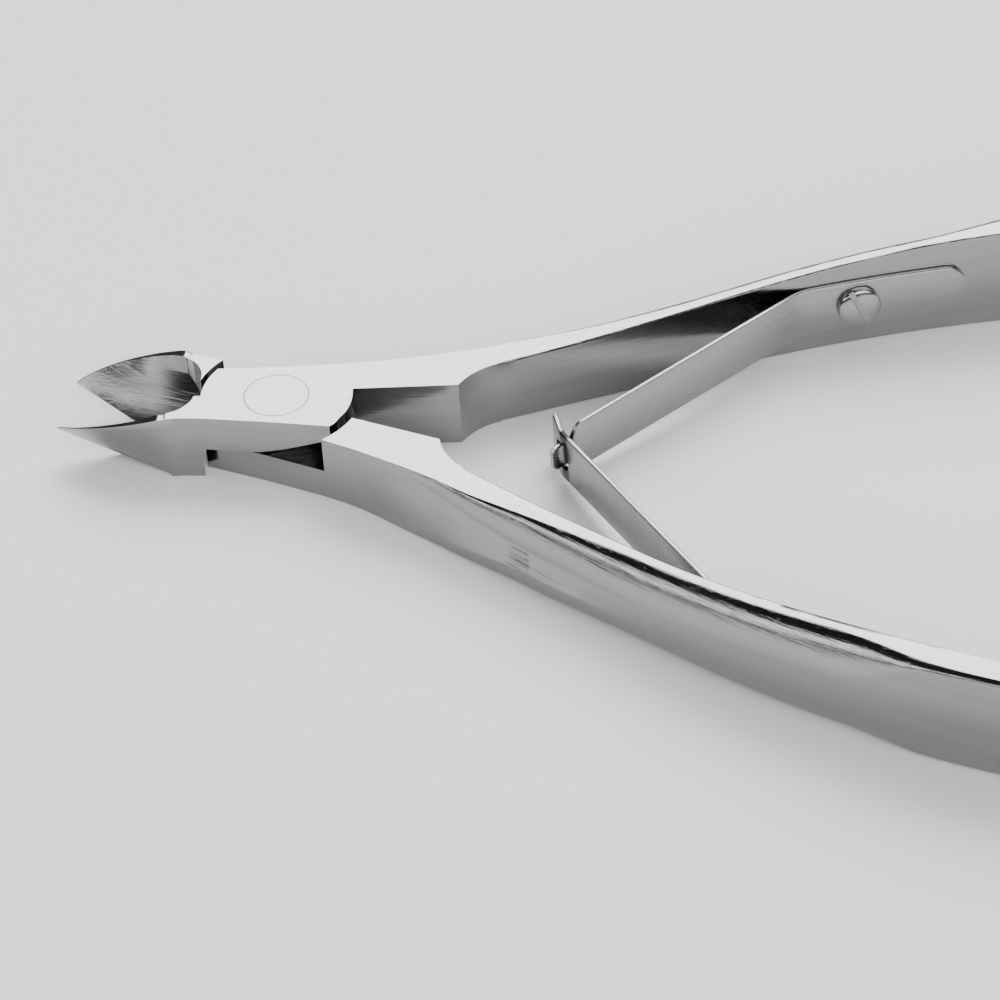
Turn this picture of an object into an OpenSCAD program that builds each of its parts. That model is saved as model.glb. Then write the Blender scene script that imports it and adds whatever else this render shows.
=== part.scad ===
// Cuticle nipper: two forged halves crossing at a lap joint, held by a flush rivet and pushed
// open by two leaf springs that hook into each other between the handles.
//
// Frame: millimetres, +Z up. The pivot axis is the Z axis, and z = 0 is the flat underside of
// the joint. The jaws point to -X and the handles to +X. The half with the upper lap has its
// jaw at -Y and its handle at +Y; the other half is its mirror image, with the lower lap.
// Each half is drawn as it stands with the jaws closed, then turned to the open rest pose. The
// handles are bent by hand, so the lower half's has its own radius: $bow holds the radius for
// the half that is being drawn.

/* [Pivot joint] */
// Thickness of the joint block
joint_t = 7.2; // [6.4:0.1:8]
// Height of the face where the two laps meet
lap_z = 3.3; // [2.8:0.1:3.8]
// Radius of the round end of each lap
lap_r = 7.4; // [7:0.1:7.5]
// Radius of the hollow shoulder, on the handles' side, that the other half's lap turns in
shoulder_r = 8.4; // [8.2:0.1:8.8]
// Radius of the hollow heel, on the jaws' side, that the other half's lap turns in
heel_r = 8; // [7.7:0.1:8.4]
// How far apart the two halves are turned at rest, in degrees
open_angle = 18; // [12:0.5:20]
// Radius of the rivet's flush heads
rivet_head_r = 3.2; // [2.8:0.1:3.6]
// Radius of the rivet's shank
rivet_r = 2.4; // [2:0.1:2.6]

/* [Jaws] */
// Distance from the pivot axis to the tips
jaw_reach = 21.9; // [20:0.1:24]
// Height of the tips above the underside
tip_z = 3.3; // [2.6:0.1:4]
// Width of one jaw at its heel
jaw_w = 3.85; // [3.4:0.05:4.2]
// Length along X of the cutting edge
blade_run = 5.9; // [4:0.1:8]
// Radius of the hollow ground along the blade
hollow_r = 12.5; // [10:0.5:16]

/* [Handles] */
// Thickness of a handle from its inner to its outer face
handle_t = 3; // [2.4:0.1:3.6]
// Height of a handle at its deepest
handle_h = 11; // [9:0.1:12]
// Angle of a handle's straight part to the middle line, jaws closed
handle_angle = 20.5; // [16:0.5:24]
// Length of a handle's straight part, measured from the boss
straight_l = 23.5; // [15:0.5:30]
// Radius of the upper half's long inward curve behind the straight part
bow_upper = 150; // [120:5:200]
// Radius of the lower half's curve
bow_lower = 105; // [100:5:200]
// Length of a handle along its centre line, measured from the boss
handle_l = 80; // [65:1:85]

/* [Springs] */
// Width of the leaf
leaf_w = 5.4; // [4.6:0.1:6]
// Thickness of the leaf
leaf_t = 0.5; // [0.4:0.05:0.6]
// Height of the middle of the leaf where it is screwed on
leaf_z = 5.1; // [4.6:0.1:5.6]
// Distance along the handle from the boss to the bend of the leaf
bend_s = 32; // [30:0.5:34]
// Length of the part screwed to the handle
foot_l = 17; // [13:0.5:18]
// Angle between the arm and the middle line at rest
arm_angle = 49.5; // [48.5:0.5:50.5]
// Downward slope of the arm towards the middle line
arm_dip = 3.5; // [0:0.5:4]

/* [Hidden] */

lap_gap = 0.1;          // play between the two lap faces
jaw_gap = 0.06;         // each blade stops this far from the middle plane
rivet_play = 0.04;      // running clearance of the rivet in the lower lap
head_depth = 0.8;       // depth of each rivet head's cone
heel_x = -10.5;         // where the jaw runs into the joint block
rim_run = 10.5;         // length over which the jaw's top rises to the joint's top
flank_draft = 0.6;      // the flank's lower edge stands this far inside its upper edge
waist = 0.35;           // the joint block is this much narrower than the jaw's heel
edge_slope = atan(tip_z / blade_run);
hollow_lean = 41;       // direction of the hollow's centre above the level, seen from the edge
wall_c = [-11.4, 0.6];  // upright wall at the rear end of the hollow
wall_r = 3.4;
relief_from = [-0.5, -4];  // line along which the relief under each lap's corner starts
relief_turn = 19;
relief_slope = 38;
relief_l = 9;           // the relief's length along X and its greatest height
relief_max = 2.9;
step_x = 17.6;          // rear end of the boss's inner face
fullness = 0.67;        // how round the roundings are: 1 is an ellipse, less is squarer
under_round = 0.75;     // size of the lower rounding of a handle beside the upper one
flare_w = 0.85;         // how far the side leans out towards the underside behind the joint
bite_r = 6.7;           // concave sweep from the boss to the handle's inner face
boss_in = [0.6, 1.45];  // inner face of the boss, at the pivot and at its rear end
boss_back = [20, 5.8];  // where the handle's centre line starts
screw_s = 38;           // the screw's place along the handle
screw_r = 1;
screw_depth = 2.2;
head_r = 2.15;
head_h = 1.1;
slot_h = 3.3;           // height of the window in the slotted leaf
tongue_h = 2.7;         // width of the other leaf's tongue
tongue_back = 1.4;      // the tongue leaves the full-width leaf this far before the middle
tongue_out = 1.3;       // and ends this far beyond it
lip_l = 3;              // bent end of the slotted leaf
lip_turn = 18;
steel = [0.80, 0.80, 0.79];
satin = [0.70, 0.71, 0.71];

function lerp(a, b, t) = a + (b - a) * t;
function clamp01(t) = max(0, min(1, t));
function ease(t) = let(c = clamp01(t)) c * c * (3 - 2 * c);

// ---- handle centre line: a straight run, then one long arc ----
function heading(s) = handle_angle - max(0, s - straight_l) / $bow * 180 / PI;
function along(s, a) = boss_back + s * [cos(a), sin(a)];
function centre(s) = let(a = handle_angle, b = heading(s))
    s <= straight_l ? along(s, a)
                    : along(straight_l, a) + $bow * [sin(a) - sin(b), cos(b) - cos(a)];
// A point beside the centre line: positive offsets lie on the handle's outer side.
function beside(s, off) = centre(s) + off * [-sin(heading(s)), cos(heading(s))];

// ---- handle section ----
function top_z(s) = joint_t + (handle_h - joint_t) * ease(s / 58);
function outer_off(s) = handle_t / 2 + 0.3 * (1 - ease((s - 2) / 10))
    + (s < 0 ? 0.5 * pow(-s / 5, 1.5) : 0);
function inner_off(s) = s < 0 ? max(0, handle_t / 2 + 0.3 * s) : handle_t / 2;
// The forged side leans outwards below the boss.
function side_flare(s) = flare_w * ease((s + 11) / 10) * (1 - ease((s - 12) / 18));
// Width and depth of the rounding along the upper outer edge. It deepens behind the boss and
// runs out again where the side becomes flat for the hand.
function round_y(s) = 0.08 + 1.62 * ease((s + 4) / 38) - 0.7 * ease((s - 42) / 22);
function round_z(s) = 0.08 + 3.32 * ease((s + 12) / 26) - 2.4 * ease((s - 45) / 9);
// Quarter of a superellipse, from the point at its top to the point at its side
function corner(a, b) = [for (k = [0:6])
    [a * pow(sin(15 * k), fullness), b * pow(cos(15 * k), fullness)]];
// One closed ring of the loft. `shrink` pulls it in on all sides, which closes the handle's
// end in a round.
function ring(s, shrink) = let(
        o = outer_off(s) - 0.35 * shrink,
        i = -inner_off(s) + 0.35 * shrink,
        lo = shrink,
        hi = top_z(s) - shrink,
        ry = min(round_y(s), 0.8 * (o - i)),
        rz = min(round_z(s), 0.45 * (hi - lo)),
        c = 0.2,
        upper = [for (p = corner(ry, rz)) [o - ry + p[0], hi - rz + p[1]]],
        foot = o + side_flare(s) - under_round * ry,
        lower = [for (p = corner(under_round * ry, under_round * rz))
            [foot + p[0], lo + under_round * rz - p[1]]],
        section = concat(
            [[i + c, lo], [i, lo + c], [i, hi - c], [i + c, hi]],
            upper, [for (k = [len(lower) - 1:-1:0]) lower[k]]))
    [for (p = section) let(q = beside(s, p[0])) [q[0], q[1], p[1]]];

// Skin over a row of rings that all have the same number of points
module loft(rings) {
    n = len(rings[0]);
    m = len(rings);
    points = [for (r = rings) each r];
    sides = [for (k = [0:m - 2], j = [0:n - 1]) let(
            a = k * n + j,
            b = k * n + (j + 1) % n)
        each [[a, b, b + n], [a, b + n, a + n]]];
    caps = [[for (j = [n - 1:-1:0]) j], [for (j = [0:n - 1]) (m - 1) * n + j]];
    polyhedron(points, concat(sides, caps), convexity = 6);
}

module handle() {
    end_r = 3.4;
    body = [for (s = [-13:2.5:handle_l - end_r]) ring(s, 0)];
    end = [for (a = [0:15:75]) ring(handle_l - end_r + end_r * sin(a), end_r * (1 - cos(a)))];
    loft(concat(body, end));
}

// ---- jaw ----
// Place along the jaw: 0 at the tip, 1 at the heel
function jaw_t(x) = clamp01((x + jaw_reach) / (heel_x + jaw_reach));
function flank_y(x) = 0.1 + (jaw_w - 0.1) * pow(1 - pow(1 - jaw_t(x), 2), 0.78)
    - waist * ease((x + 12) / 2.5);
function rim_z(x) = tip_z + 0.15
    + (joint_t - tip_z - 0.15) * pow(clamp01((x + jaw_reach) / rim_run), 0.75);
// The flank's lower edge is one straight line from the tip to the heel's underside.
function low_edge(x) = [-0.1 - (jaw_w - flank_draft - 0.1) * jaw_t(x), tip_z * (1 - jaw_t(x))];
// The cutting edge is one straight line from the tip down to the underside.
function cut_z(x) = tip_z * (1 - clamp01((x + jaw_reach) / blade_run));
// Inner corner of the flat underside, which opens out behind the blade
function under_y(x) = let(t = clamp01((x + jaw_reach - blade_run) / (heel_x + jaw_reach - blade_run)))
    t > 0 ? lerp(-jaw_gap - 0.02, -(jaw_w - flank_draft), t) : -jaw_gap - 0.02;
function jaw_ring(x) = let(low = low_edge(x), f = flank_y(x)) [
    [x, 0.4, cut_z(x)],
    [x, min(under_y(x), -0.03), cut_z(x)],
    [x, max(low[0], -f + 0.02), low[1]],
    [x, -f, rim_z(x) - 0.02],
    [x, 0.4, rim_z(x)]
];

module jaw() {
    tip_x = -jaw_reach;
    difference() {
        loft([for (k = [0:20]) jaw_ring(tip_x + (heel_x + 0.7 - tip_x) * pow(k / 20, 1.3))]);
        translate([-40, -jaw_gap, -5]) cube([40, 10, 20]);
    }
}

// Thickness of the rim left outside the hollow
function rim_t(x) = 0.12 + 0.5 * pow(clamp01((x + jaw_reach) / 10), 1.5);

// The sweep of a grinding wheel that meets the middle plane in a line falling at `slope`
module wheel_sweep(z, slope) {
    translate([-jaw_reach, -jaw_gap, z]) rotate([0, 90 + slope, 0])
        translate([-hollow_r * sin(hollow_lean), hollow_r * cos(hollow_lean), -5])
            cylinder(r = hollow_r, h = 40, $fn = 180);
}

module hollow_plan() {
    straight_to = -13;
    step = 0.5;
    rim = [for (x = [straight_to:-step:-jaw_reach]) [x, -max(0.05, flank_y(x) - rim_t(x))]];
    polygon(concat(
        [[wall_c[0], 10], [wall_c[0] + 0.4, wall_c[1] - wall_r + 0.02]],
        rim, [[-jaw_reach - 1, 0], [-jaw_reach - 1, 10]]));
    translate(wall_c) circle(r = wall_r, $fn = 72);
}

// Hollow inside the jaw: one sweep along the sloping blade, one level sweep behind it, and an
// upright round wall at the rear
module jaw_hollow() {
    intersection() {
        wheel_sweep(tip_z, edge_slope);
        wheel_sweep(0, 0);
        translate([0, 0, -5]) linear_extrude(20) hollow_plan();
    }
}

// ---- joint block, in plan ----
module joint_strip() {
    jaw_edge = [[heel_x, -3.55], [-9.2, -3.45], [-7, -3.5], [-4.7, -3.7], [-0.8, -4.05],
                [1.9, -4.35], [5.2, -4.75], [9, -5.2]];
    handle_edge = [[9, 5.18], [8.4, 5.12], [7.4, 5], [6.4, 4.86], [0, 4.4], [-6.5, 4.15],
                   [heel_x, 4]];
    polygon(concat(jaw_edge, handle_edge));
}

module jaw_side() {
    translate([-20, -10 - jaw_gap]) square([20, 10]);
}

// Where the joint block runs on into the handle
module handle_side() {
    translate([0, boss_in[1]]) square([9, 9]);
}

module boss_plan() {
    sweep_end = beside(0.7, -handle_t / 2);
    bite = sweep_end + bite_r * [sin(handle_angle), -cos(handle_angle)];
    difference() {
        polygon([
            [0, boss_in[0]], [step_x, boss_in[1]], sweep_end, [21.5, 6],
            beside(-1, 1), beside(-6, 1.4), beside(-11, 2.4), [6, 4.6], [0, 4.2]
        ]);
        translate(bite) circle(r = bite_r, $fn = 96);
    }
}

// Upper part of the upper-lap half: jaw heel, round lap and boss in one plate
module lap_plate() {
    intersection() {
        joint_strip();
        union() {
            circle(r = lap_r, $fn = 120);
            jaw_side();
            handle_side();
        }
    }
    boss_plan();
}

// Lower part: the same outline without the lap, cut back to the round shoulders
module shoulder_plate() {
    difference() {
        union() {
            intersection() {
                joint_strip();
                union() {
                    jaw_side();
                    handle_side();
                }
            }
            boss_plan();
        }
        pocket_plan();
    }
}

// The round space that the other half's lap turns in, wider on the handles' side
module pocket_plan() {
    circle(r = heel_r, $fn = 120);
    intersection() {
        circle(r = shoulder_r, $fn = 120);
        translate([0, -20]) square([20, 40]);
    }
}

// The corner of each lap beside its own jaw is ground away next to the other lap: a wedge that
// opens upwards from z, or downwards where `up` is false.
module lap_relief(z, up) {
    depth = 6;
    intersection() {
        translate([relief_from[0], relief_from[1], z]) rotate([0, 0, relief_turn])
            rotate([up ? -relief_slope : relief_slope, 0, 0])
                translate([-relief_l, -relief_l, up ? -depth : 0])
                    cube([2 * relief_l, relief_l, depth]);
        translate([relief_from[0] - 1, relief_from[1] - relief_l, z - (up ? 0.01 : relief_max)])
            cube([relief_l, 1.5 * relief_l, relief_max + 0.01]);
    }
}

// One half with the jaws closed, its lap between z = from and z = to
module half(from, to) {
    up = from > 0;
    difference() {
        union() {
            jaw();
            handle_behind_lap();
            translate([0, 0, from]) linear_extrude(to - from) lap_plate();
            linear_extrude(joint_t) shoulder_plate();
        }
        jaw_hollow();
        lap_relief(up ? from : to, up);
        translate([0, 0, leaf_z]) at_face(screw_s) translate([0, 0, -screw_depth])
            cylinder(r = screw_r, h = screw_depth + 1, $fn = 48);
    }
}

// The handle, kept out of the round pocket that the other half's lap turns in
module handle_behind_lap() {
    difference() {
        handle();
        translate([0, 0, -1]) linear_extrude(joint_t + 2) pocket_plan();
    }
}

// Stand on a handle's inner face, Z pointing to the middle plane
module at_face(s) {
    p = beside(s, -handle_t / 2);
    translate([p[0], p[1], 0]) rotate([90, 0, heading(s)]) children();
}

module upper_side() {
    $bow = bow_upper;
    rotate([0, 0, open_angle / 2]) children();
}

module lower_side() {
    $bow = bow_lower;
    rotate([0, 0, -open_angle / 2]) mirror([0, 1, 0]) children();
}

module rivet_cone(r, h, spread) {
    rotate_extrude($fn = 96)
        polygon([[0, 0], [r, 0], [r + spread, h], [0, h]]);
}

module upper_lap_half() {
    color(steel) upper_side() difference() {
        half(lap_z + lap_gap / 2, joint_t);
        translate([0, 0, -1]) cylinder(r = rivet_r, h = joint_t + 2, $fn = 96);
        translate([0, 0, joint_t - head_depth])
            rivet_cone(rivet_r, head_depth, rivet_head_r - rivet_r);
    }
}

module lower_lap_half() {
    bore_r = rivet_r + rivet_play;
    color(steel) lower_side() difference() {
        half(0, lap_z - lap_gap / 2);
        translate([0, 0, -1]) cylinder(r = bore_r, h = joint_t + 2, $fn = 96);
        mirror([0, 0, 1]) translate([0, 0, -head_depth - rivet_play])
            rivet_cone(bore_r, head_depth + rivet_play, rivet_head_r - rivet_r + rivet_play);
    }
}

module pivot_rivet() {
    spread = rivet_head_r - rivet_r;
    color(satin) rotate_extrude($fn = 96) polygon([
        [0, 0], [rivet_r + spread, 0], [rivet_r, head_depth],
        [rivet_r, joint_t - head_depth], [rivet_r + spread, joint_t], [0, joint_t]
    ]);
}

// ---- springs, drawn on the upper side ----
rest_turn = open_angle / 2;
function bend() = beside(bend_s, -handle_t / 2 - leaf_t / 2);
// The arm's length from its bend to the middle line, with the handles apart at rest
function arm_l() = let(p = bend())
    (p[0] * sin(rest_turn) + p[1] * cos(rest_turn)) / sin(arm_angle) / cos(arm_dip);

// The foot follows the handle's long curve, so it is cut from a round shell.
module spring_foot() {
    seat_r = $bow - handle_t / 2 - 0.02;
    a = heading(straight_l);
    hub = along(straight_l, a) + $bow * [sin(a), -cos(a)];
    corner = 2;
    intersection() {
        translate([hub[0], hub[1], 0]) difference() {
            cylinder(r = seat_r, h = 12, $fn = 720);
            translate([0, 0, -1]) cylinder(r = seat_r - leaf_t, h = 14, $fn = 720);
        }
        translate([0, 0, leaf_z]) at_face(bend_s + foot_l / 2)
            translate([-foot_l / 2 + 0.3, -leaf_w / 2, -2]) linear_extrude(5) {
                square([foot_l - corner, leaf_w]);
                translate([0, corner]) square([foot_l, leaf_w - 2 * corner]);
                for (y = [corner, leaf_w - corner])
                    translate([foot_l - corner, y]) circle(r = corner, $fn = 48);
            }
    }
}

module screwed_foot() {
    difference() {
        spring_foot();
        translate([0, 0, leaf_z]) at_face(screw_s) translate([0, 0, -1])
            cylinder(r = screw_r + 0.1, h = 4, $fn = 48);
    }
}

module spring_screw() {
    slot = 0.55;
    translate([0, 0, leaf_z]) at_face(screw_s) {
        translate([0, 0, -screw_depth]) cylinder(r = screw_r, h = screw_depth + 1, $fn = 48);
        translate([0, 0, leaf_t + 0.05]) difference() {
            rotate_extrude($fn = 72) polygon([
                [0, 0], [head_r, 0], [head_r, head_h * 0.6], [head_r * 0.8, head_h], [0, head_h]
            ]);
            rotate([0, 0, 65]) translate([-3, -slot / 2, head_h * 0.45]) cube([6, slot, 2]);
        }
    }
}

// Stand on the arm: X runs from the bend to the middle line, Y through the leaf, Z across it
module on_arm() {
    translate([bend()[0], bend()[1], leaf_z])
        rotate([0, 0, 180 + arm_angle - rest_turn]) rotate([0, arm_dip, 0]) children();
}

module plate(from, to, width) {
    translate([from, -leaf_t / 2, -width / 2]) cube([to - from, leaf_t, width]);
}

module tongue_arm() {
    shoulder = arm_l() - tongue_back;
    corner = 1.2;
    on_arm() {
        plate(0.5, shoulder - corner, leaf_w);
        plate(0.5, shoulder, leaf_w - 2 * corner);
        plate(0.5, arm_l() + tongue_out, tongue_h);
        for (z = [-1, 1])
            translate([shoulder - corner, leaf_t / 2, z * (leaf_w / 2 - corner)])
                rotate([90, 0, 0]) cylinder(r = corner, h = leaf_t, $fn = 48);
    }
}

module slotted_arm() {
    window = [arm_l() - 2.2, arm_l() + 1.5];
    on_arm() difference() {
        union() {
            plate(0.5, arm_l() + 0.4, leaf_w);
            translate([arm_l() + 0.3, 0, 0]) rotate([0, 0, lip_turn]) plate(0, lip_l, leaf_w);
        }
        translate([window[0], -2, -slot_h / 2]) cube([window[1] - window[0], 4, slot_h]);
    }
}

module tongue_spring_foot() {
    color(satin) upper_side() screwed_foot();
}

module slotted_spring_foot() {
    color(satin) lower_side() screwed_foot();
}

module tongue_spring_arm() {
    color(satin) upper_side() tongue_arm();
}

module slotted_spring_arm() {
    color(satin) lower_side() slotted_arm();
}

module tongue_spring_screw() {
    color(steel) upper_side() spring_screw();
}

module slotted_spring_screw() {
    color(steel) lower_side() spring_screw();
}

upper_lap_half();
lower_lap_half();
pivot_rivet();
tongue_spring_foot();
tongue_spring_arm();
tongue_spring_screw();
slotted_spring_foot();
slotted_spring_arm();
slotted_spring_screw();
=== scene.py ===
"""Looks of the cuticle nipper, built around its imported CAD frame.

The frame is in metres: +Z is the pivot axis, z = 0 the flat underside, the jaws point to -X.
Shapes are worked out in millimetres. Each forged half is drawn on the upper side with the
jaws closed, then mirrored if it is the lower half, and turned to its open rest pose.
"""
import math
import bmesh
import bpy
from mathutils import Matrix, Vector


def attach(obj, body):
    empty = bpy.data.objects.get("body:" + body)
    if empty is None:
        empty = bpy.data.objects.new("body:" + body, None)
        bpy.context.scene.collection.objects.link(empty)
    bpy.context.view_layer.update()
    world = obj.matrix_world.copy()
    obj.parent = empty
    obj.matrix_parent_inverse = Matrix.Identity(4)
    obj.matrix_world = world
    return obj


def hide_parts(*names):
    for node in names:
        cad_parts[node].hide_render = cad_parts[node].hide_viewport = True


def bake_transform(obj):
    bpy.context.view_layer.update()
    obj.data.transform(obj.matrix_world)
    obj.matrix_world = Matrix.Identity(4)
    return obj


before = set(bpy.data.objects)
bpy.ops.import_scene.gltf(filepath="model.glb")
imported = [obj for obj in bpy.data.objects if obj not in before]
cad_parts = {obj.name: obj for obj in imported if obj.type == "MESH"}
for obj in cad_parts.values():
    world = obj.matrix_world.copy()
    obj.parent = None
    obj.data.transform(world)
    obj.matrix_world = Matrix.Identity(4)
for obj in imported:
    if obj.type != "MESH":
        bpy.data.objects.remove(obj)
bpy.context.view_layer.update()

MM = 0.001

# ---- dimensions of the CAD design, in millimetres and degrees ----
JOINT_T = 7.2
LAP_Z = 3.3
LAP_GAP = 0.1
LAP_R = 7.4
RELIEF_FROM = (-0.5, -4)
RELIEF_TURN = 19
RELIEF_SLOPE = 38
RELIEF_MAX = 2.9
RELIEF_X = (-1.5, 7.5)
SHOULDER_R = 8.4
HEEL_R = 8.0
OPEN_TURN = 9
RIVET_HEAD_R = 3.2
RIVET_R = 2.4
RIVET_PLAY = 0.04
HEAD_DEPTH = 0.8
JAW_REACH = 21.9
TIP_Z = 3.3
JAW_W = 3.85
JAW_GAP = 0.06
BLADE_RUN = 5.9
HEEL_X = -10.5
RIM_RUN = 10.5
FLANK_DRAFT = 0.6
WAIST = 0.35
FLARE_W = 0.85
UNDER_ROUND = 0.75
HOLLOW_R = 12.5
HOLLOW_LEAN = 41
WALL_C = (-11.4, 0.6)
WALL_R = 3.4
HANDLE_T = 3
HANDLE_H = 11
HANDLE_ANGLE = 20.5
STRAIGHT_L = 23.5
HANDLE_L = 80
HANDLE_END_R = 3.4
SIDE_BULGE = 0.3
BOSS_BACK = Vector((20, 5.8))
BOSS_IN = (0.6, 1.45)
STEP_X = 17.6
BITE_R = 6.7
LEAF_W = 5.4
LEAF_T = 0.5
LEAF_Z = 5.1
BEND_S = 32
FOOT_L = 17
SCREW_S = 38
SCREW_R = 1
SCREW_DEPTH = 2.2
SCREW_HEAD_R = 2.15
SCREW_HEAD_H = 1.1
ARM_ANGLE = 49.5
ARM_DIP = 3.5
TONGUE_W = 2.7
TONGUE_OUT = 1.3
LIP_L = 3
LIP_TURN = 18

# ---- finer shapes than the CAD has, in millimetres and degrees ----
FORGED_EDGE = 0.06
RIVET_EDGE = 0.09
SCREW_EDGE = 0.045
SCREW_SLOT_W = 0.55
SCREW_SLOT_TURN = 115
LEAF_EDGE_R = 0.14
LEAF_CORNER_R = 2
LEAF_BEND_R = 3.2
LEAF_STEP = 0.35
BLEND_ON_FOOT = 1.4
BLEND_ON_ARM = 2.4
BUMP_HEIGHT = 0.004


def clamp01(t):
    return max(0.0, min(1.0, t))


def ease(t):
    c = clamp01(t)
    return c * c * (3 - 2 * c)


def sind(a):
    return math.sin(math.radians(a))


def cosd(a):
    return math.cos(math.radians(a))


# ---- handle: centre line and section ----
class Bow:
    """Centre line of one handle: a straight run from the boss, then an arc of the given radius."""

    def __init__(self, radius):
        self.radius = radius

    def heading(self, s):
        """Direction of the centre line, in degrees, at the distance s behind the boss."""
        return HANDLE_ANGLE - math.degrees(max(0, s - STRAIGHT_L) / self.radius)

    def centre(self, s):
        a, b = HANDLE_ANGLE, self.heading(s)
        straight = BOSS_BACK + min(s, STRAIGHT_L) * Vector((cosd(a), sind(a)))
        return straight + self.radius * Vector((sind(a) - sind(b), cosd(b) - cosd(a)))

    def beside(self, s, off):
        """A point beside the centre line; positive offsets lie on the outer side."""
        a = self.heading(s)
        return self.centre(s) + off * Vector((-sind(a), cosd(a)))

    def bend(self):
        """Where the leaf spring leaves the handle, in the middle of the leaf."""
        p = self.beside(BEND_S, -HANDLE_T / 2 - LEAF_T / 2)
        return Vector((p.x, p.y, LEAF_Z))

    def arm_length(self):
        p = self.bend()
        reach = p.x * sind(OPEN_TURN) + p.y * cosd(OPEN_TURN)
        return reach / sind(ARM_ANGLE) / cosd(ARM_DIP)


UPPER = Bow(150)
LOWER = Bow(105)


def top_z(s):
    """Height of the handle, which rises from the joint's thickness to its own."""
    return JOINT_T + (HANDLE_H - JOINT_T) * ease(s / 58)


def outer_off(s):
    """Half width on the outer side. In front of the boss it widens into the joint."""
    bulge = SIDE_BULGE * (1 - ease((s - 2) / 10))
    return HANDLE_T / 2 + bulge + (0.5 * (-s / 5) ** 1.5 if s < 0 else 0)


def inner_off(s):
    """Half width on the inner side. In front of the boss it narrows to nothing."""
    return max(0, HANDLE_T / 2 + 0.3 * s) if s < 0 else HANDLE_T / 2


def side_flare(s):
    """How far the side leans out towards the underside behind the joint."""
    return FLARE_W * ease((s + 11) / 10) * (1 - ease((s - 12) / 18))


def round_y(s):
    """Width of the rounding along the outer top edge."""
    return 0.08 + 2.1 * ease((s + 8) / 34) - 1.5 * ease((s - 44) / 14)


def round_z(s):
    """Height of the rounding along the outer top edge."""
    return 0.08 + 3.9 * ease((s + 12) / 30) - 3.3 * ease((s - 46) / 8)


def corner(a, b, steps=18):
    """Elliptic rounding from the point at its top to the point at its side."""
    angles = [90 * k / steps for k in range(steps + 1)]
    return [(a * sind(t), b * cosd(t)) for t in angles]


def handle_ring(bow, s, shrink):
    """Section of the handle at s, listed upwards from its inner lower edge."""
    under, c = UNDER_ROUND, 0.2
    o = outer_off(s) - 0.35 * shrink
    i = -inner_off(s) + 0.35 * shrink
    lo, hi = shrink, top_z(s) - shrink
    ry = min(round_y(s), 0.8 * (o - i))
    rz = min(round_z(s), 0.45 * (hi - lo))
    section = [(i + c, lo), (i + 0.06, lo + 0.06), (i, lo + c)]
    section += [(i, hi - c), (i + 0.06, hi - 0.06), (i + c, hi)]
    section += [(o - ry + p[0], hi - rz + p[1]) for p in corner(ry, rz)]
    foot = o + side_flare(s) - under * ry
    lower = [(foot + p[0], lo + under * rz - p[1]) for p in corner(under * ry, under * rz)]
    section += lower[::-1]
    points = []
    for off, z in section:
        p = bow.beside(s, off)
        points.append((p.x, p.y, z))
    return points


# ---- jaw: flank, rim and lower edges ----
def jaw_t(x):
    """0 at the jaw's tip, 1 at its heel."""
    return clamp01((x + JAW_REACH) / (HEEL_X + JAW_REACH))


def flank_y(x):
    """Distance of the flank's upper edge from the middle plane."""
    tip_w = 0.1
    curve = (1 - (1 - jaw_t(x)) ** 2) ** 0.78
    return tip_w + (JAW_W - tip_w) * curve - WAIST * ease((x + 12) / 2.5)


def rim_z(x):
    """Height of the rim round the jaw's hollow."""
    start = TIP_Z + 0.15
    rise = clamp01((x + JAW_REACH) / RIM_RUN) ** 0.75
    return start + (JOINT_T - start) * rise


def rim_t(x):
    """Width of that rim."""
    return 0.12 + 0.5 * clamp01((x + JAW_REACH) / 10) ** 1.5


def under_y(x):
    """Inner edge of the jaw's flat underside."""
    run = HEEL_X + JAW_REACH - BLADE_RUN
    t = clamp01((x + JAW_REACH - BLADE_RUN) / run)
    inner = -JAW_GAP - 0.02
    return inner + (-(JAW_W - FLANK_DRAFT) - inner) * t


def jaw_ring(x):
    """Section of the jaw across X, from the middle plane round the flank to the top."""
    cut = TIP_Z * (1 - clamp01((x + JAW_REACH) / BLADE_RUN))
    low_y = -0.1 - (JAW_W - FLANK_DRAFT - 0.1) * jaw_t(x)
    low_z = TIP_Z * (1 - jaw_t(x))
    flank, top = flank_y(x), rim_z(x)
    low_y = max(low_y, -flank + 0.02)
    points = [(x, 0.4, cut), (x, min(under_y(x), -0.03), cut), (x, low_y, low_z)]
    # The flank is a little convex between its lower edge and its rim.
    for k in range(1, 6):
        t = k / 6
        belly = 0.10 * math.sin(math.pi * t) * jaw_t(x)
        points.append((x, low_y + (-flank - low_y) * t - belly, low_z + (top - low_z) * t))
    return points + [(x, -flank, top - 0.02), (x, 0.4, top)]


# ---- mesh helpers ----
def add_object(name, mesh):
    o = bpy.data.objects.new(name, mesh)
    bpy.context.scene.collection.objects.link(o)
    return o


def mesh_object(name, points, faces):
    me = bpy.data.meshes.new(name)
    me.from_pydata([tuple(p) for p in points], [], faces)
    bm = bmesh.new()
    bm.from_mesh(me)
    bmesh.ops.recalc_face_normals(bm, faces=bm.faces)
    bm.to_mesh(me)
    bm.free()
    return add_object(name, me)


def loft(name, rings):
    """Closed skin over rings that all have the same number of points."""
    n, m = len(rings[0]), len(rings)
    points = [p for r in rings for p in r]
    faces = [
        (k * n + j, k * n + (j + 1) % n, (k + 1) * n + (j + 1) % n, (k + 1) * n + j)
        for k in range(m - 1)
        for j in range(n)
    ]
    faces += [tuple(range(n)), tuple((m - 1) * n + j for j in range(n))]
    return mesh_object(name, points, faces)


def prism(name, outline, z0, z1):
    return loft(name, [[(x, y, z) for x, y in outline] for z in (z0, z1)])


def disc(radius, segments=200, middle=(0, 0)):
    turn = 360 / segments
    return [
        (middle[0] + radius * cosd(turn * k), middle[1] + radius * sind(turn * k))
        for k in range(segments)
    ]


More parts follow.
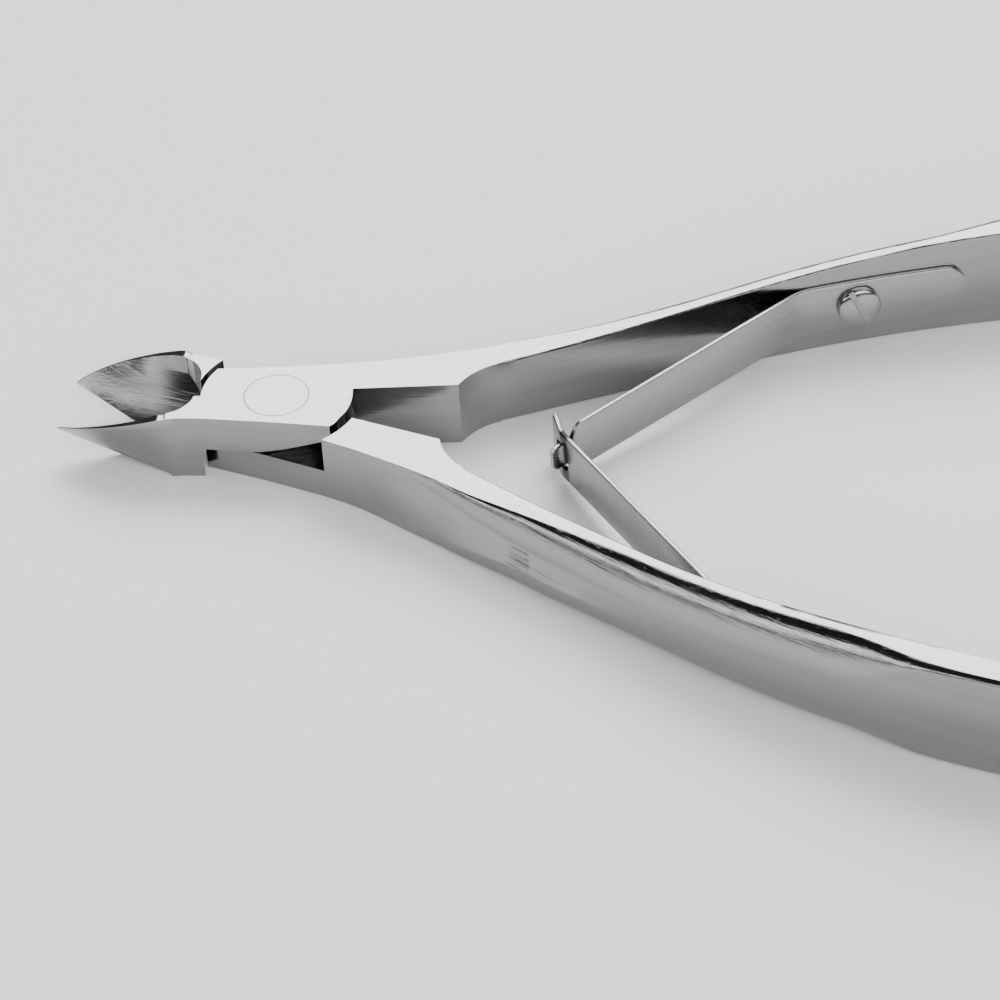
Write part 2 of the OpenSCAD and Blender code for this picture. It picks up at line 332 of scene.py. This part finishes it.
def lathe(name, profile, segments=128):
    """Turns (radius, z) points, listed from the axis back to the axis, round Z."""
    n = len(profile) - 2
    points = [(0, 0, profile[0][1])]
    for k in range(segments):
        a = 360 * k / segments
        points += [(r * cosd(a), r * sind(a), z) for r, z in profile[1:-1]]
    points.append((0, 0, profile[-1][1]))
    last = len(points) - 1
    faces = []
    for k in range(segments):
        a, b = 1 + k * n, 1 + (k + 1) % segments * n
        faces.append((0, a, b))
        faces += [(a + j, a + j + 1, b + j + 1, b + j) for j in range(n - 1)]
        faces.append((a + n - 1, last, b + n - 1))
    return mesh_object(name, points, faces)


def bake_modifiers(o):
    """Replaces the object's mesh by what its modifiers make of it."""
    bpy.context.view_layer.update()
    shown = o.evaluated_get(bpy.context.evaluated_depsgraph_get())
    me = bpy.data.meshes.new_from_object(shown)
    old = o.data
    o.modifiers.clear()
    o.data = me
    bpy.data.meshes.remove(old)
    return o


def combine(o, other, operation):
    mod = o.modifiers.new("combine", "BOOLEAN")
    mod.operation = operation
    mod.solver = "MANIFOLD"
    mod.object = other
    bake_modifiers(o)
    mesh = other.data
    bpy.data.objects.remove(other)
    bpy.data.meshes.remove(mesh)
    return o


def union(o, *others):
    for other in others:
        combine(o, other, "UNION")
    return o


def cut(o, *others):
    for other in others:
        combine(o, other, "DIFFERENCE")
    return o


def common(o, other):
    return combine(o, other, "INTERSECT")


def place(o, matrix):
    o.data.transform(matrix)
    return o


def turn(axis, degrees):
    return Matrix.Rotation(math.radians(degrees), 4, axis)


def shift(x, y, z):
    return Matrix.Translation((x, y, z))


def clean(o, merge=0.004):
    bm = bmesh.new()
    bm.from_mesh(o.data)
    bmesh.ops.remove_doubles(bm, verts=bm.verts, dist=merge)
    bmesh.ops.dissolve_degenerate(bm, edges=bm.edges, dist=merge)
    bmesh.ops.dissolve_limit(
        bm, angle_limit=math.radians(0.3), verts=bm.verts, edges=bm.edges,
        use_dissolve_boundaries=False, delimit=set(),
    )
    bm.to_mesh(o.data)
    bm.free()
    return o


def soften_edges(o, width, segments=2, angle=32):
    mod = o.modifiers.new("edges", "BEVEL")
    mod.width = width
    mod.segments = segments
    mod.limit_method = "ANGLE"
    mod.angle_limit = math.radians(angle)
    mod.use_clamp_overlap = True
    mod.miter_outer = "MITER_ARC"
    return bake_modifiers(o)


def shade(o, angle=30, weighted=True):
    for f in o.data.polygons:
        f.use_smooth = True
    o.data.set_sharp_from_angle(angle=math.radians(angle))
    if weighted:
        mod = o.modifiers.new("normals", "WEIGHTED_NORMAL")
        mod.mode = "FACE_AREA"
        mod.weight = 80
        mod.keep_sharp = True
        bake_modifiers(o)
    return o


# ---- one forged half, jaws closed ----
def handle(bow):
    end_r = HANDLE_END_R
    first, last, step = -13, HANDLE_L - end_r, 0.8
    count = int((last - first) / step)
    rings = [handle_ring(bow, first + (last - first) * k / count, 0) for k in range(count + 1)]
    rings += [
        handle_ring(bow, last + end_r * sind(a), end_r * (1 - cosd(a))) for a in range(6, 85, 6)
    ]
    return cut(loft("handle", rings), pocket())


def jaw():
    tip, steps = -JAW_REACH, 48
    stations = [tip + (HEEL_X + 0.7 - tip) * (k / steps) ** 1.3 for k in range(steps + 1)]
    body = loft("jaw", [jaw_ring(x) for x in stations])
    return cut(body, prism("gap", [(-40, -JAW_GAP), (0, -JAW_GAP), (0, 10), (-40, 10)], -5, 15))


def wheel_sweep(z, slope):
    """The sweep of a grinding wheel that meets the middle plane in a line falling at slope."""
    o = prism("sweep", disc(HOLLOW_R, 480), -5, 35)
    place(o, shift(-HOLLOW_R * sind(HOLLOW_LEAN), HOLLOW_R * cosd(HOLLOW_LEAN), 0))
    return place(o, shift(-JAW_REACH, -JAW_GAP, z) @ turn("Y", 90 + slope))


def hollow_plan():
    straight_to, steps = -13, 24
    run = [straight_to - (JAW_REACH + straight_to) * k / steps for k in range(steps + 1)]
    rim = [(x, -max(0.05, flank_y(x) - rim_t(x))) for x in run]
    join = (WALL_C[0] + 0.4, WALL_C[1] - WALL_R + 0.02)
    front = [(WALL_C[0], 10), join, *rim, (-JAW_REACH - 1, 0), (-JAW_REACH - 1, 10)]
    o = prism("hollow", front, -5, 15)
    return union(o, prism("wall", disc(WALL_R, 120, WALL_C), -5, 15))


def jaw_hollow():
    slope = math.degrees(math.atan(TIP_Z / BLADE_RUN))
    return common(common(wheel_sweep(TIP_Z, slope), wheel_sweep(0, 0)), hollow_plan())


JAW_EDGE = [(HEEL_X, -3.55), (-9.2, -3.45), (-7, -3.5), (-4.7, -3.7), (-0.8, -4.05),
            (1.9, -4.35), (5.2, -4.75), (9, -5.2)]
HANDLE_EDGE = [(9, 5.18), (8.4, 5.12), (7.4, 5), (6.4, 4.86), (0, 4.4), (-6.5, 4.15), (HEEL_X, 4)]


def strip(z0, z1):
    return prism("strip", JAW_EDGE + HANDLE_EDGE, z0, z1)


def handle_side(z0, z1):
    """Where the joint block runs on into the handle."""
    return prism("handle_side", [(0, 2), (9, 2), (9, 9), (0, 9)], z0, z1)


def jaw_side(z0, z1):
    edge = -JAW_GAP
    return prism("jaw_side", [(-20, edge), (-20, -10), (0, -10), (0, edge)], z0, z1)


def boss(z0, z1):
    sweep_end = UPPER.beside(0.7, -HANDLE_T / 2)
    outline = [
        (0, BOSS_IN[0]), (STEP_X, BOSS_IN[1]), tuple(sweep_end), (21.5, 6),
        tuple(UPPER.beside(-1, 1)), tuple(UPPER.beside(-6, 1.4)), tuple(UPPER.beside(-11, 2.4)),
        (6, 4.6), (0, 4.2),
    ]
    middle = sweep_end + BITE_R * Vector((sind(HANDLE_ANGLE), -cosd(HANDLE_ANGLE)))
    bite = prism("bite", disc(BITE_R, 160, middle), z0 - 1, z1 + 1)
    return cut(prism("boss", outline, z0, z1), bite)


def hand_filed_disc():
    """The lap's round end, a little uneven where it was filed to clear the shoulder."""
    points = []
    for k in range(240):
        a = 1.5 * k
        dip = 0.10 * math.exp(-((a - 332) / 5) ** 2) + 0.07 * math.exp(-((a - 318) / 4) ** 2)
        points.append(((LAP_R - dip) * cosd(a), (LAP_R - dip) * sind(a)))
    return points


def lap_plate(z0, z1):
    swing = union(prism("lap", hand_filed_disc(), z0, z1), jaw_side(z0, z1), handle_side(z0, z1))
    return union(common(strip(z0, z1), swing), boss(z0, z1))


def shoulder_plate():
    front = common(strip(0, JOINT_T), jaw_side(0, JOINT_T))
    rear = common(strip(0, JOINT_T), handle_side(0, JOINT_T))
    body = union(front, boss(0, JOINT_T), rear)
    return cut(body, pocket())


def pocket():
    """The round space that the other half's lap turns in, wider on the handles' side."""
    outline = [(HEEL_R * cosd(a), HEEL_R * sind(a)) for a in range(90, 271, 2)]
    outline += [(SHOULDER_R * cosd(a), SHOULDER_R * sind(a)) for a in range(-90, 91, 2)]
    return prism("pocket", outline, -1, JOINT_T + 2)


def lap_relief(z, grow):
    """Wedge under the upper lap's corner beside its own jaw, or over the lower lap's corner."""
    z0 = -6 if grow > 0 else 0
    o = prism("relief", [(-10, -8), (10, -8), (10, 0), (-10, 0)], z0, z0 + 6)
    place(o, shift(*RELIEF_FROM, z) @ turn("Z", RELIEF_TURN) @ turn("X", -grow * RELIEF_SLOPE))
    x0, x1 = RELIEF_X
    reach = [(x0, -10), (x1, -10), (x1, 2), (x0, 2)]
    low, high = (z - 0.01, z + RELIEF_MAX) if grow > 0 else (z - RELIEF_MAX, z + 0.01)
    return common(o, prism("reach", reach, low, high))


def at_face(bow, s):
    """Stands on a handle's inner face at leaf height, Z pointing to the middle plane."""
    p = bow.beside(s, -HANDLE_T / 2)
    return shift(p.x, p.y, LEAF_Z) @ turn("Z", bow.heading(s)) @ turn("X", 90)


def forged_half(name, bow, z0, z1, upper):
    o = jaw()
    union(o, shoulder_plate(), handle(bow), lap_plate(z0, z1))
    cut(o, jaw_hollow(), lap_relief(z0 if upper else z1, 1 if upper else -1))
    screw_hole = prism("hole", disc(SCREW_R, 48), -SCREW_DEPTH, 1)
    cut(o, place(screw_hole, at_face(bow, SCREW_S)), rivet_bore(upper))
    o.name = name
    clean(o)
    return o


def rivet_bore(upper):
    """The rivet is tight in the upper half and runs in the lower one."""
    play = 0 if upper else RIVET_PLAY
    wide, narrow = RIVET_HEAD_R + play, RIVET_R + play
    if upper:
        profile = [(0, -1), (narrow, -1), (narrow, JOINT_T - HEAD_DEPTH), (wide, JOINT_T),
                   (wide, JOINT_T + 1), (0, JOINT_T + 1)]
    else:
        profile = [(0, -1), (wide, -1), (wide, 0), (narrow, HEAD_DEPTH + play),
                   (narrow, JOINT_T + 1), (0, JOINT_T + 1)]
    return lathe("bore", profile)


def upper_side():
    """From the drawing in millimetres to the upper half's rest place in metres."""
    return Matrix.Scale(MM, 4) @ turn("Z", OPEN_TURN)


def lower_side():
    """The same for the lower half, which is drawn mirrored."""
    mirror = Matrix.Diagonal((1, -1, 1, 1))
    return Matrix.Scale(MM, 4) @ turn("Z", -OPEN_TURN) @ mirror


def seat(o, side):
    """Takes a drawn part to its rest place in the frame."""
    o.data.transform(side)
    if side.determinant() < 0:
        o.data.flip_normals()
    return o


def grain_axis(o, bow, side):
    """Stores on each vertex how far along, across and up the forged half it lies, in mm."""
    back = side.inverted()
    layer = o.data.attributes.new("grain", "FLOAT_VECTOR", "POINT")
    for i, v in enumerate(o.data.vertices):
        p = back @ v.co
        s, off = p.x - BOSS_BACK.x, p.y - BOSS_BACK.y
        if s > 0:
            s = s / cosd(HANDLE_ANGLE) * 0.98
            for _ in range(3):
                c, a = bow.centre(s), bow.heading(s)
                s += (p.x - c.x) * cosd(a) + (p.y - c.y) * sind(a)
            c, a = bow.centre(s), bow.heading(s)
            off = -(p.x - c.x) * sind(a) + (p.y - c.y) * cosd(a)
        layer.data[i].vector = (s, off, p.z)


def leaf_grain(o, bow, side):
    """The same for a leaf spring: along its foot, then along its arm. It also stores a
    painted-shade weight on the arm just before its hook.
    """
    back, bend, arm = side.inverted(), bow.bend(), arm_direction()
    a = bow.heading(BEND_S)
    foot = Vector((-cosd(a), -sind(a), 0))
    o.data.attributes.new("grain", "FLOAT_VECTOR", "POINT")
    o.data.attributes.new("painted_shade", "FLOAT", "POINT")
    layer, painted_shade = o.data.attributes["grain"], o.data.attributes["painted_shade"]
    for i, v in enumerate(o.data.vertices):
        p = back @ v.co - bend
        along = arm if p.dot(arm) > 0 else foot
        across = p.cross(along)
        layer.data[i].vector = (p.dot(along), across.z, across.xy.length + p.z)
        # Painted shade: weight that darkens the arm just before its hook, where the slot shows only
        # shade.
        near_hook = bow.arm_length() - p.dot(arm)
        painted_shade.data[i].value = ease((1.6 - near_hook) / 0.5) * ease((near_hook + 0.3) / 0.3)


# ---- materials ----
class Nodes:
    """Short calls for building the node tree of a material or of the world."""

    def __init__(self, owner):
        owner.use_nodes = True
        self.tree = owner.node_tree

    def feed(self, node, **inputs):
        """Links or sets the named inputs of one of the tree's own nodes, underscores for spaces."""
        for key, value in inputs.items():
            socket = self.tree.nodes[node].inputs[key.replace("_", " ")]
            if isinstance(value, bpy.types.NodeSocket):
                self.tree.links.new(value, socket)
            else:
                socket.default_value = value

    def add(self, kind, values=None, **settings):
        node = self.tree.nodes.new("ShaderNode" + kind)
        for key, value in settings.items():
            setattr(node, key, value)
        for key, value in (values or {}).items():
            if isinstance(value, bpy.types.NodeSocket):
                self.tree.links.new(value, node.inputs[key])
            else:
                node.inputs[key].default_value = value
        return node

    def math(self, operation, a, b=0.0, c=0.0):
        return self.add("Math", {0: a, 1: b, 2: c}, operation=operation).outputs[0]

    def scaled(self, vector, scale):
        return self.add("Mapping", {"Vector": vector, "Scale": scale}).outputs[0]

    def noise(self, vector, scale, detail=3.0, roughness=0.5):
        values = {"Vector": vector, "Scale": scale, "Detail": detail, "Roughness": roughness}
        return self.add("TexNoise", values).outputs[0]

    def remap(self, value, low, high, to_low, to_high, kind="LINEAR"):
        limits = {"From Min": low, "From Max": high, "To Min": to_low, "To Max": to_high}
        values = {"Value": value, **limits}
        return self.add("MapRange", values, interpolation_type=kind).outputs[0]

    def vector(self, operation, values, output=0):
        return self.add("VectorMath", values, operation=operation).outputs[output]


def belt_ground(n):
    """1 on slanting surfaces, which were rounded off on a belt, and 0 on flat and upright ones."""
    normal = n.add("NewGeometry").outputs["Normal"]
    up = n.math("ABSOLUTE", n.add("SeparateXYZ", {0: normal}).outputs[2])
    return n.math("MULTIPLY", n.remap(up, 0.16, 0.36, 0.0, 1.0), n.remap(up, 0.93, 0.99, 1.0, 0.0))


def joint_painted_shade(n):
    """One on the walls that face each other round the joint, where painted shade darkens the gap
    between the parts.
    """
    here = n.add("TexCoord").outputs
    level = n.vector("MULTIPLY", {0: here["Object"], 1: (1, 1, 0)})
    radius = n.vector("LENGTH", {0: level}, "Value")
    outward = n.vector("NORMALIZE", {0: level})
    facing = n.vector("DOT_PRODUCT", {0: here["Normal"], 1: outward}, "Value")
    facing = n.remap(n.math("ABSOLUTE", facing), 0.75, 0.92, 0.0, 1.0)
    inside = n.remap(radius, 9.4 * MM, 8.9 * MM, 0.0, 1.0)
    outside = n.remap(radius, 6.2 * MM, 6.6 * MM, 0.0, 1.0)
    return n.math("MULTIPLY", facing, n.math("MULTIPLY", inside, outside))


def polished_metal(name, base, rough, streak, turned=None, marks=1.0, belt=5.0):
    """Ground and polished metal: grinding lines, stray scratches and handling haze.

    The lines run along the piece's own grain, or along X turned by the given angles."""
    m = bpy.data.materials.new(name)
    n = Nodes(m)
    if turned is None:
        along = n.add("Attribute", attribute_name="grain").outputs["Vector"]
    else:
        source = n.add("TexCoord").outputs["Object"]
        in_mm = {"Vector": source, "Rotation": turned, "Scale": (1 / MM, 1 / MM, 1 / MM)}
        along = n.add("Mapping", in_mm).outputs[0]
    lines = n.noise(n.scaled(along, (0.045, 5.0, 5.0)), 1.0, 5.0, 0.62)
    broad = n.noise(n.scaled(along, (0.03, 0.9, 0.9)), 1.0, 2.0, 0.5)
    haze = n.noise(n.scaled(along, (0.11, 0.16, 0.16)), 1.0, 4.0, 0.55)
    scratch = n.noise(n.scaled(along, (0.35, 9.0, 9.0)), 1.0, 1.0, 0.3)
    scratch = n.remap(scratch, 0.70, 0.80, 0.0, 1.0)
    rough_value = n.remap(haze, 0.3, 0.7, rough * 0.75, rough * 1.3)
    rough_value = n.math("ADD", rough_value, n.remap(lines, 0.3, 0.7, -0.15 * rough, 0.15 * rough))
    rough_value = n.math("MULTIPLY_ADD", scratch, 0.12 * marks, rough_value)
    tone = n.remap(broad, 0.3, 0.7, 0.94, 1.04)
    tone = n.math("MULTIPLY_ADD", scratch, -0.06 * marks, tone)
    # Painted shade: the colour darkens to near black at the spring's hook, where the slot shows
    # shade, and on the walls round the joint.
    painted_shade = n.add("Attribute", attribute_name="painted_shade").outputs["Fac"]
    painted_shade = n.math("MAXIMUM", painted_shade, joint_painted_shade(n))
    tone = n.math("MULTIPLY", tone, n.remap(painted_shade, 0.0, 1.0, 1.0, 0.06))
    colour = n.vector("SCALE", {0: base, "Scale": tone})
    waves = n.math("MULTIPLY", broad, 2.5 * streak)
    height = n.math("ADD", n.math("MULTIPLY", lines, streak), waves)
    height = n.math("MULTIPLY_ADD", scratch, -0.3 * marks * streak, height)
    height = n.math("MULTIPLY", height, n.math("MULTIPLY_ADD", belt_ground(n), belt, 1.0))
    deep = {"Height": height, "Distance": BUMP_HEIGHT * MM, "Strength": 1.0}
    bump = n.add("Bump", deep).outputs[0]
    shader = "Principled BSDF"
    n.feed(shader, Base_Color=colour, Roughness=rough_value, Normal=bump, Metallic=1.0)
    return m


def dress(o, material):
    o.data.materials.clear()
    o.data.materials.append(material)


# ---- pieces ----
def build_half(name, node, body, bow, z0, z1, side, steel):
    o = forged_half(name, bow, z0, z1, side.determinant() > 0)
    soften_edges(o, FORGED_EDGE, 2, 35)
    seat(o, side)
    grain_axis(o, bow, side)
    shade(o)
    dress(o, steel)
    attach(o, body)
    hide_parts(node)
    return o


def build_rivet(steel):
    edge, head = RIVET_EDGE, RIVET_HEAD_R - RIVET_EDGE
    profile = [(0, 0), (head, 0), (head, edge), (RIVET_R, HEAD_DEPTH),
               (RIVET_R, JOINT_T - HEAD_DEPTH), (head, JOINT_T - edge), (head, JOINT_T),
               (0, JOINT_T)]
    o = lathe("pivot_rivet_ground", profile, 160)
    place(o, Matrix.Scale(MM, 4))
    shade(o)
    dress(o, steel)
    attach(o, "upper_half")
    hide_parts("pivot_rivet")


def leaf_section(point, tangent, up, half_w):
    """Rounded bar section of the leaf across its path."""
    side = tangent.cross(up).normalized()
    up = side.cross(tangent).normalized()
    r = min(LEAF_EDGE_R, 0.45 * half_w)
    ring = []
    for cx, cz, start in ((1, 1, 0), (-1, 1, 90), (-1, -1, 180), (1, -1, 270)):
        for k in range(4):
            a = start + 30 * k
            x = cx * (LEAF_T / 2 - r) + r * cosd(a)
            z = cz * (half_w - r) + r * sind(a)
            ring.append(point + side * x + up * z)
    return ring


def smooth_line(points, radius):
    """Rounds the corner in the middle of three points and samples it densely."""
    a, b, c = points
    d = min(radius, 0.45 * (a - b).length, 0.45 * (c - b).length)
    p, q = b + (a - b).normalized() * d, b + (c - b).normalized() * d
    bend = [p.lerp(b, t).lerp(b.lerp(q, t), t) for t in (k / 10 for k in range(11))]
    return [a, *bend, c]


def resample(points, step):
    out = [points[0].copy()]
    for a, b in zip(points, points[1:]):
        n = max(1, int(math.ceil((b - a).length / step)))
        out += [a.lerp(b, k / n) for k in range(1, n + 1)]
    return out


def arm_heading():
    """Direction of the leaf's arm in the drawing, seen from above."""
    return ARM_ANGLE - OPEN_TURN + 180


def arm_direction():
    a, dip = arm_heading(), ARM_DIP
    return Vector((cosd(a) * cosd(dip), sind(a) * cosd(dip), -sind(dip)))


def leaf_line(bow, ending):
    """The leaf's middle line from the foot's end to the arm's end, with its bend rounded."""
    off = -HANDLE_T / 2 - LEAF_T / 2 - 0.02
    foot = []
    for k in range(2 * FOOT_L - 1):
        p = bow.beside(BEND_S + FOOT_L - 0.5 * k, off)
        foot.append(Vector((p.x, p.y, LEAF_Z)))
    halfway = bow.bend() + arm_direction() * bow.arm_length() * 0.5
    line = smooth_line([foot[-5], bow.bend(), halfway], LEAF_BEND_R)
    return foot[:-5] + line[:-1] + [halfway] + ending


def end_width(half, radius, d):
    """Half width at the distance d from an end with rounded corners."""
    if d >= radius:
        return half
    return half - radius + math.sqrt(max(0.0, radius ** 2 - (radius - d) ** 2))


def sweep_leaf(name, line, width_at):
    """Sweeps the leaf's section along its line, with the half width that width_at gives."""
    points = resample(line, LEAF_STEP)
    length = [0.0]
    for a, b in zip(points, points[1:]):
        length.append(length[-1] + (b - a).length)
    total, rings = length[-1], []
    for k, p in enumerate(points):
        tangent = (points[min(k + 1, len(points) - 1)] - points[max(k - 1, 0)]).normalized()
        rings.append(leaf_section(p, tangent, Vector((0, 0, 1)), width_at(length[k], total)))
    return loft(name, rings)


def tongue_leaf(bow):
    half, tongue, tongue_l, shoulder_r = LEAF_W / 2, TONGUE_W / 2, 2.7, 1.2

    def width_at(u, total):
        left = total - u - tongue_l
        if left < 0:
            return end_width(tongue, 0.5, total - u + 0.01)
        full = min(end_width(half, LEAF_CORNER_R, u + 0.02), end_width(half, shoulder_r, left))
        return max(tongue, full)

    end = bow.bend() + arm_direction() * (bow.arm_length() + TONGUE_OUT)
    return sweep_leaf("tongue_spring", leaf_line(bow, [end]), width_at)


def slotted_leaf(bow):
    window_h, before_hook, past_hook, lip_bend_r = 3.0, 1.3, 1.5, 0.8
    half, arm_l, bend, level = LEAF_W / 2, bow.arm_length(), bow.bend(), arm_heading()
    lip = Vector((cosd(level + LIP_TURN), sind(level + LIP_TURN), -sind(ARM_DIP)))

    def width_at(u, total):
        return min(end_width(half, LEAF_CORNER_R, u + 0.02), end_width(half, 0.5, total - u + 0.02))

    knee = bend + arm_direction() * (arm_l + 0.3)
    before = bend + arm_direction() * arm_l * 0.6
    ending = smooth_line([before, knee, knee + lip * LIP_L], lip_bend_r)
    o = sweep_leaf("slotted_spring", leaf_line(bow, ending), width_at)
    window = rounded_plate(arm_l - before_hook, arm_l + past_hook, window_h, 0.9)
    cutter = prism("window", window, -2, 2)
    on_arm = shift(*bend) @ turn("Z", level) @ turn("Y", ARM_DIP)
    return cut(o, place(cutter, on_arm @ turn("X", 90)))


def rounded_plate(x0, x1, height, r):
    """Outline of a plate centred on the X axis, with rounded corners."""
    outline = []
    for right, up, start in ((1, 1, 0), (0, 1, 90), (0, -1, 180), (1, -1, 270)):
        for k in range(7):
            a = start + 15 * k
            x = x1 - r if right else x0 + r
            outline.append((x + r * cosd(a), up * (height / 2 - r) + r * sind(a)))
    return outline


def build_leaf(o, nodes, bow, side, steel):
    hole = prism("hole", disc(SCREW_R + 0.1, 48), -1, 3)
    cut(o, place(hole, at_face(bow, SCREW_S)))
    seat(o, side)
    leaf_grain(o, bow, side)
    shade(o, 35, weighted=False)
    dress(o, steel)
    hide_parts(*nodes)
    back = bow.heading(BEND_S)
    start = side @ (bow.bend() + BLEND_ON_FOOT * Vector((cosd(back), sind(back), 0)))
    end = side @ (bow.bend() + BLEND_ON_ARM * arm_direction())
    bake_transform(o)
    return o


def build_screw(name, node, body, bow, side, steel):
    r, head_r, depth, side_h, chamfer = SCREW_R, SCREW_HEAD_R, SCREW_DEPTH, 0.55, 0.15
    under_head = LEAF_T + 0.05
    top, half = under_head + SCREW_HEAD_H, SCREW_SLOT_W / 2
    dome_h = SCREW_HEAD_H - side_h
    dome = [(head_r * cosd(a), under_head + side_h + dome_h * sind(a)) for a in range(0, 90, 9)]
    profile = [(0, -depth), (r - chamfer, -depth), (r, chamfer - depth), (r, under_head),
               (head_r - 0.12, under_head), (head_r, under_head + 0.1), *dome, (0, top)]
    o = lathe(name, profile, 96)
    slot = prism("slot", [(-3, -half), (3, -half), (3, half), (-3, half)], under_head + 0.5, 4)
    cut(o, place(slot, turn("Z", SCREW_SLOT_TURN)))
    o.name = name
    clean(o, 0.002)
    soften_edges(o, SCREW_EDGE, 2, 40)
    place(o, at_face(bow, SCREW_S))
    seat(o, side)
    shade(o, 35)
    dress(o, steel)
    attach(o, body)
    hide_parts(node)


def build_object():
    tint = (0.30, 0.30, 0.296)
    forged = polished_metal("forged_steel", tint, 0.14, 1.0)
    flush = polished_metal("rivet_steel", tint, 0.17, 0.8, (0, 0, 0.5))
    spring = polished_metal("spring_steel", (0.31, 0.31, 0.307), 0.25, 0.7, None, 0.6, 0.0)
    screw = polished_metal("screw_steel", (0.33, 0.33, 0.325), 0.2, 0.6, (0.4, 0.2, 0.3), 0.8, 0.0)
    gap = LAP_GAP / 2
    up, low = upper_side(), lower_side()
    build_half("upper_half_polished", "upper_lap_half", "upper_half", UPPER,
               LAP_Z + gap, JOINT_T, up, forged)
    build_half("lower_half_polished", "lower_lap_half", "lower_half", LOWER,
               0, LAP_Z - gap, low, forged)
    build_rivet(flush)
    build_leaf(tongue_leaf(UPPER), ("tongue_spring_foot", "tongue_spring_arm"),
               UPPER, up, spring)
    build_leaf(slotted_leaf(LOWER), ("slotted_spring_foot", "slotted_spring_arm"),
               LOWER, low, spring)
    build_screw("tongue_screw_slotted", "tongue_spring_screw", "upper_half", UPPER, up, screw)
    build_screw("slotted_screw_slotted", "slotted_spring_screw", "lower_half", LOWER, low, screw)


# ---- camera, floor and light ----
def camera():
    azimuth, elevation, roll = 14.375, 40.221, -3.718
    distance, lens, sensor = 386.5, 148.77, 36
    target = Vector((24.672, -11.945, 7.075)) * MM
    level = cosd(elevation)
    back = Vector((sind(azimuth) * level, -cosd(azimuth) * level, sind(elevation)))
    right = (-back).cross(Vector((0, 0, 1))).normalized()
    up = right.cross(-back)
    x = cosd(roll) * right + sind(roll) * up
    y = -sind(roll) * right + cosd(roll) * up
    data = bpy.data.cameras.new("camera")
    data.sensor_width = sensor
    data.lens = lens
    data.clip_start = 0.01
    o = bpy.data.objects.new("camera", data)
    m = Matrix((x, y, back)).transposed().to_4x4()
    m.translation = target + back * distance * MM
    o.matrix_world = m
    bpy.context.scene.collection.objects.link(o)
    bpy.context.scene.camera = o


def floor():
    """A pale card, wide enough to fill the view."""
    below, half = -0.03, 3000
    square = [(-half, -half), (half, -half), (half, half), (-half, half)]
    me = bpy.data.meshes.new("card")
    me.from_pydata([Vector((x, y, below)) * MM for x, y in square], [], [(0, 1, 2, 3)])
    me.materials.append(pale_card())
    add_object("card", me)


def pale_card():
    m = bpy.data.materials.new("pale_card")
    n = Nodes(m)
    grain = n.noise(n.add("TexCoord").outputs["Object"], 900.0, 4.0)
    tone = n.remap(grain, 0.3, 0.7, 0.985, 1.0)
    colour = n.vector("SCALE", {0: (0.80, 0.80, 0.795), "Scale": tone})
    shader = "Principled BSDF"
    n.feed(shader, Base_Color=colour, Roughness=0.75, Specular_IOR_Level=0.2)
    return m


def softbox(name, at, size, power):
    """A square lamp that lights the card but isn't seen in the steel."""
    light = bpy.data.lights.new(name, "AREA")
    light.shape = "RECTANGLE"
    light.size = light.size_y = size
    light.energy = power
    o = bpy.data.objects.new(name, light)
    o.location = at
    o.rotation_euler = (Vector((0.03, 0, 0)) - Vector(at)).to_track_quat("-Z", "Y").to_euler()
    o.visible_glossy = False
    bpy.context.scene.collection.objects.link(o)


def studio():
    """Room light by direction: a big window behind the tool, a second one to the right behind
    the camera, darkness overhead, and bands of softer light to the left and low behind."""
    w = bpy.data.worlds.new("studio")
    bpy.context.scene.world = w
    n = Nodes(w)
    x, y, z = n.add("SeparateXYZ", {0: n.add("TexCoord").outputs["Generated"]}).outputs

    def step(value, start, end, strength=1.0):
        return n.remap(value, start, end, 0.0, strength, "SMOOTHSTEP")

    def product(first, *others):
        for other in others:
            first = n.math("MULTIPLY", first, other)
        return first

    def total_of(first, *others):
        for other in others:
            first = n.math("ADD", first, other)
        return first

    window = product(
        step(x, -0.44, -0.33), step(x, 0.62, 0.45), step(y, 0.3, 0.45),
        step(z, 0.36, 0.46), step(z, 0.93, 0.82, 7.6),
    )
    second_window = product(
        step(x, 0.05, 0.2), step(y, -0.15, -0.3), step(z, 0.34, 0.45), step(z, 0.9, 0.78, 4.6),
    )
    left = product(
        step(x, -0.5, -0.68), step(y, 0.35, 0.1), step(z, 0.20, 0.28), step(z, 0.52, 0.42, 3.2),
    )
    behind = product(
        step(y, 0.05, -0.25), step(x, -0.75, -0.6), step(z, 0.26, 0.33), step(z, 0.52, 0.42, 2.7),
    )
    rest = step(z, 0.8, 0.0, 0.10)
    strength = total_of(window, second_window, left, behind, rest, 0.03)
    n.feed("Background", Color=(1, 1, 0.992, 1), Strength=strength)


build_object()
camera()
floor()
studio()
softbox("overhead", (0.05, 0.35, 1.0), 1.0, 6)
